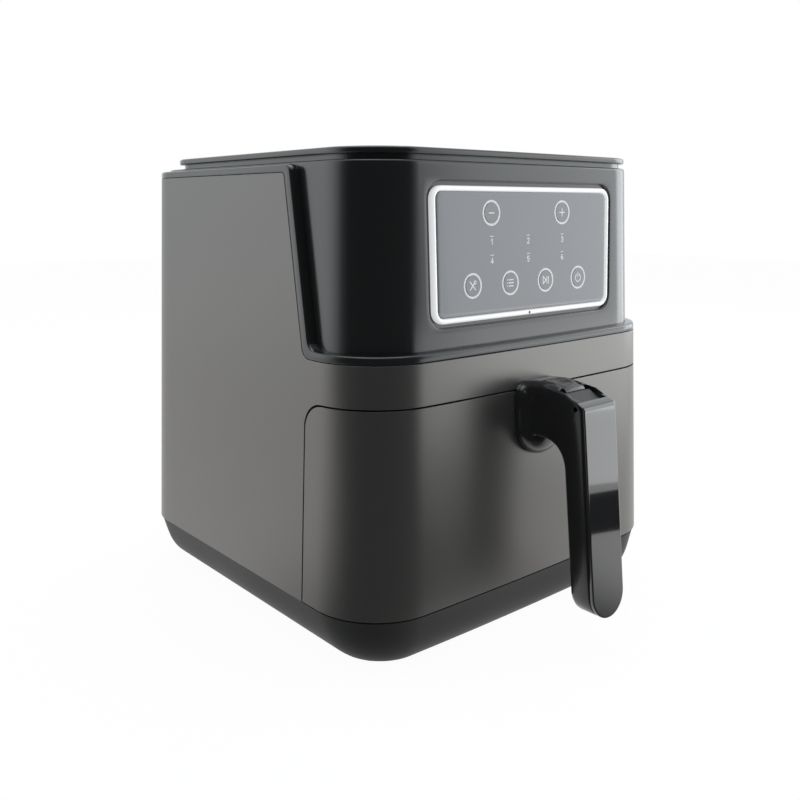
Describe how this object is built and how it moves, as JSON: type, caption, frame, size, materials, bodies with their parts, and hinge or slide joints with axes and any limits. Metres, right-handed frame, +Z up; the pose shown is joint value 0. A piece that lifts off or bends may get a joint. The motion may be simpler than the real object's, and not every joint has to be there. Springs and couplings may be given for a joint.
{
  "type": "air fryer",
  "caption": "Air fryer with a leaning square housing, a black control head with a touch panel, and a pull-out drawer holding a lift-out basket with a handle and latch.",
  "frame": {"origin": "middle of the whole outline (housing and handle) at the level of the feet", "axes": "+X to the right seen from the front, +Y from the handle to the rear, +Z up"},
  "size_m": [0.293, 0.3558, 0.31],
  "materials": {
    "grey_shell": "warm dark grey, satin, with a faint metallic sheen",
    "black_gloss": "black, semi-gloss, softly reflecting",
    "black_matte": "black, finely grained and matte",
    "feet_rubber": "soft black rubber",
    "ring_white": "bright pale rim",
    "panel_glass": "smoked, nearly opaque touch glass",
    "board_green": "circuit board",
    "steel_sheet": "plain galvanised or aluminised sheet steel",
    "bright_metal": "bright plated wire and screws",
    "element_metal": "heat-darkened tube",
    "ceramic": "white ceramic",
    "coated_pan": "dark grey non-stick coating, slightly speckled",
    "bumper_silicone": "dark silicone",
    "fan_metal": "pressed aluminium",
    "button_grey": "dark grey, fine matte",
    "plunger_red": "red moulded plastic"
  },
  "bodies": {
    "housing": {"base_tray": "black_matte", "rubber_feet": "feet_rubber", "base_screws": "bright_metal", "cord_gland": "black_matte", "outer_shell": "grey_shell", "trim_frame": "black_gloss", "control_head": "black_gloss", "top_cover": "black_gloss", "vent_grille": "black_matte", "panel_ring": "ring_white", "touch_glass": "panel_glass", "display_board": "board_green", "bay_liner": "steel_sheet", "bay_frame": "black_matte", "bay_ceiling": "steel_sheet", "left_rail": "steel_sheet", "right_rail": "steel_sheet", "exhaust_duct": "steel_sheet", "heater_hood": "steel_sheet", "heating_element": "element_metal", "element_bushes": "ceramic", "element_clips": "steel_sheet", "element_guard": "bright_metal", "fan_shroud": "steel_sheet", "equipment_deck": "steel_sheet", "motor_bracket": "steel_sheet", "motor_body": "steel_sheet", "power_board": "board_green", "temperature_sensor": "bright_metal", "thermal_cutoff": "ceramic", "interlock_switch": "black_matte"},
    "plunger": {"switch_plunger": "plunger_red"},
    "rotor": {"fan_shaft": "bright_metal", "circulation_fan": "fan_metal", "cooling_fan": "black_matte", "fan_nut": "bright_metal"},
    "drawer": {"drawer_front": "grey_shell", "drawer_backing": "black_matte", "pan": "coated_pan", "latch_strike": "bright_metal", "drawer_screws": "bright_metal"},
    "basket_unit": {"basket": "coated_pan", "basket_bumpers": "bumper_silicone", "handle_bracket": "steel_sheet", "bracket_rivets": "bright_metal", "handle_body": "black_gloss", "handle_strip": "black_gloss", "handle_screws": "bright_metal", "button_pin": "bright_metal", "latch_pin": "bright_metal", "latch_spring": "bright_metal"},
    "button": {"release_button": "button_grey"},
    "guard": {"button_guard": "button_grey"},
    "latch": {"latch_lever": "steel_sheet"}
  },
  "joints": [
    {"name": "drawer_slide", "type": "slide", "parent": "housing", "child": "drawer", "axis": [0, -1, 0], "range_m": [0, 0.18]},
    {"name": "basket_lift", "type": "slide", "parent": "drawer", "child": "basket_unit", "axis": [0, 0, 1], "range_m": [0, 0.004]},
    {"name": "release_press", "type": "hinge", "parent": "basket_unit", "child": "button", "pos_m": [0, -0.15436, 0.158], "axis": [-1, 0, 0], "range_deg": [0, 5], "stiffness_Nm_per_rad": 0.6, "springref_deg": -5.73},
    {"name": "latch_turn", "type": "hinge", "parent": "basket_unit", "child": "latch", "pos_m": [0, -0.10467, 0.151], "axis": [1, 0, 0], "range_deg": [0, 9.5]},
    {"name": "guard_slide", "type": "slide", "parent": "basket_unit", "child": "guard", "axis": [0, -1, 0], "range_m": [0, 0.014]},
    {"name": "fan_spin", "type": "hinge", "parent": "housing", "child": "rotor", "pos_m": [0, 0.02838, 0.2], "axis": [0, 0, 1], "continuous": true},
    {"name": "switch_press", "type": "slide", "parent": "housing", "child": "plunger", "axis": [0, 0, 1], "range_m": [0, 0.0015], "stiffness_N_per_m": 300, "springref_m": -0.002}
  ],
  "couplings": [
    {"joint": "latch_turn", "follows": "release_press", "ratio": 1.9}
  ]
}
